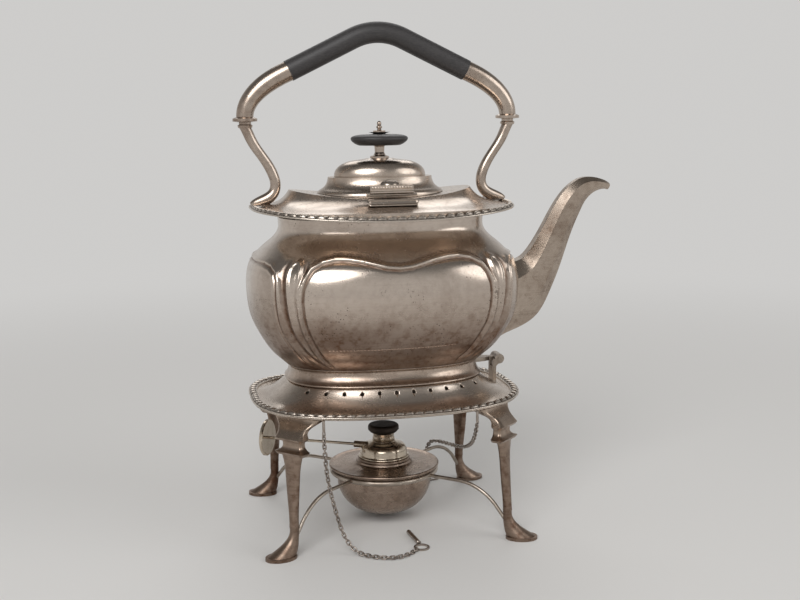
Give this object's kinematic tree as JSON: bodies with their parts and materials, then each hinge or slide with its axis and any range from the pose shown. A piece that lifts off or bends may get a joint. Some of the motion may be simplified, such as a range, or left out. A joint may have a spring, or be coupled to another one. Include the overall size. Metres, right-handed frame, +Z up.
{
  "type": "spirit kettle on stand",
  "caption": "Silver spirit kettle with a fixed ebonised overhead handle, tilting on a four-legged stand over a spirit lamp with a wick regulator.",
  "frame": {"origin": "Centre of the box of the whole object, at the level of the surface that its feet stand on; the chains and their pins are left out of the box.", "axes": "+Z up, +X towards the spout, +Y to the back; the lid hinge and the nearer chain are on the -Y side."},
  "size_m": [0.2614, 0.1804, 0.3404],
  "materials": {
    "silver_plate": "polished silver plate, warm and lightly tarnished",
    "applied_border": "cast silver border with brown in its hollows",
    "cast_leg": "cast silver, satin with wear",
    "stand_fittings": "silver-plated fittings, dull",
    "chain_silver": "small silver chain, dulled",
    "handle_silver": "cast silver handle mounts, tarnished",
    "dark_wood": "blackened hardwood, satin",
    "lamp_silver": "spun silver plate, brown tarnish",
    "burner_metal": "turned and polished burner metal",
    "sooty_cap": "burner cap, dark with soot",
    "cotton_wick": "woven cotton wick, undyed"
  },
  "bodies": {
    "stand": {"stand_plate": "silver_plate", "plate_border": "applied_border", "leg_front_left": "cast_leg", "leg_front_right": "cast_leg", "leg_back_left": "cast_leg", "leg_back_right": "cast_leg", "lamp_ring": "stand_fittings", "stay_front_left": "stand_fittings", "stay_front_right": "stand_fittings", "stay_back_left": "stand_fittings", "stay_back_right": "stand_fittings", "hinge_post": "stand_fittings", "hinge_pin": "stand_fittings", "chain_eye_left": "chain_silver", "chain_eye_right": "chain_silver", "lock_chain_left": "chain_silver", "lock_chain_right": "chain_silver", "pin_ring_left": "chain_silver", "pin_ring_right": "chain_silver", "lock_pin_left": "chain_silver", "lock_pin_right": "chain_silver"},
    "kettle": {"kettle_foot": "silver_plate", "kettle_body": "silver_plate", "kettle_top": "silver_plate", "rim_border": "applied_border", "spout": "silver_plate", "hinge_arm": "stand_fittings", "handle_arm_left": "handle_silver", "handle_arm_right": "handle_silver", "handle_collar_left": "handle_silver", "handle_collar_right": "handle_silver", "handle_socket_left": "handle_silver", "handle_socket_right": "handle_silver", "handle_grip": "dark_wood", "lid_hinge_box": "stand_fittings", "lid_hinge_pin": "stand_fittings"},
    "lid": {"lid_shell": "silver_plate", "lid_hinge_leaf": "stand_fittings", "knob_stem": "handle_silver", "lid_knob": "dark_wood", "knob_finial": "handle_silver"},
    "lamp": {"lamp_bowl": "lamp_silver", "lamp_cover": "lamp_silver", "burner_dome": "burner_metal", "wick_tube": "burner_metal", "regulator_gland": "burner_metal"},
    "regulator": {"regulator_rod": "burner_metal", "regulator_knob": "burner_metal"},
    "wick": {"wick_carrier": "burner_metal", "wick": "cotton_wick"},
    "snuffer": {"snuffer_cap": "sooty_cap"}
  },
  "joints": [
    {"name": "kettle_tilt", "type": "hinge", "parent": "stand", "child": "kettle", "pos_m": [0.0495, 0, 0.1093], "axis": [0, 1, 0], "range_deg": [0, 50]},
    {"name": "lid_open", "type": "hinge", "parent": "kettle", "child": "lid", "pos_m": [-0.033, -0.0405, 0.2286], "axis": [1, 0, 0], "range_deg": [0, 95]},
    {"name": "lamp_lift", "type": "slide", "parent": "stand", "child": "lamp", "axis": [0, 0, 1], "range_m": [0, 0.01]},
    {"name": "regulator_spin", "type": "hinge", "parent": "lamp", "child": "regulator", "pos_m": [-0.03577, -0.00521, 0.052], "axis": [0.8829, -0.4695, 0], "range_deg": [0, 121]},
    {"name": "wick_raise", "type": "slide", "parent": "lamp", "child": "wick", "axis": [0, 0, 1], "range_m": [0, 0.004]},
    {"name": "cap_lift", "type": "slide", "parent": "lamp", "child": "snuffer", "axis": [0, 0, 1], "range_m": [0, 0.025]}
  ],
  "couplings": [
    {"joint": "regulator_spin", "follows": "wick_raise", "rad_per_m": 526.32}
  ]
}
